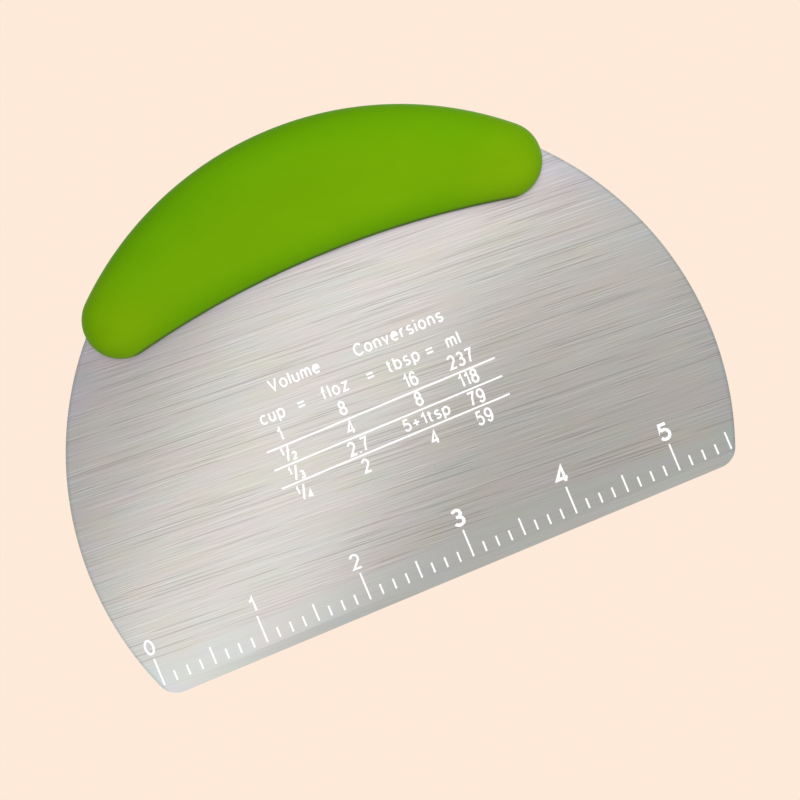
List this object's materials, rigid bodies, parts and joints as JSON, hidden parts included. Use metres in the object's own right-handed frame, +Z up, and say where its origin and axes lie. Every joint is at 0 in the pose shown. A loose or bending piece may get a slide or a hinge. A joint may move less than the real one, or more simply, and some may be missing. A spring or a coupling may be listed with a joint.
{
  "type": "bench scraper",
  "caption": "Half-round stainless bench scraper with a printed inch ruler and a crescent plastic grip along its curved back.",
  "frame": {"origin": "middle of the straight scraping edge, at its lowest plane and half-way through the blade's thickness", "axes": "+X along the scraping edge, with the ruler's numbers rising towards it; +Y through the thickness, away from the printed face; +Z up from the scraping edge to the handle"},
  "size_m": [0.1524, 0.014, 0.1105],
  "materials": {
    "blade_steel": "stainless sheet brushed along the scraping edge",
    "handle_plastic": "satin moulded, leaf green",
    "pin_steel": "plain drawn wire",
    "marking_ink": "white printed ruler and table"
  },
  "bodies": {
    "root": {"blade": "blade_steel", "handle_front_shell": "handle_plastic", "handle_rear_shell": "handle_plastic", "locking_pin_1": "pin_steel", "locking_pin_2": "pin_steel", "locking_pin_3": "pin_steel", "locking_pin_4": "pin_steel", "locking_pin_5": "pin_steel"}
  },
  "joints": []
}
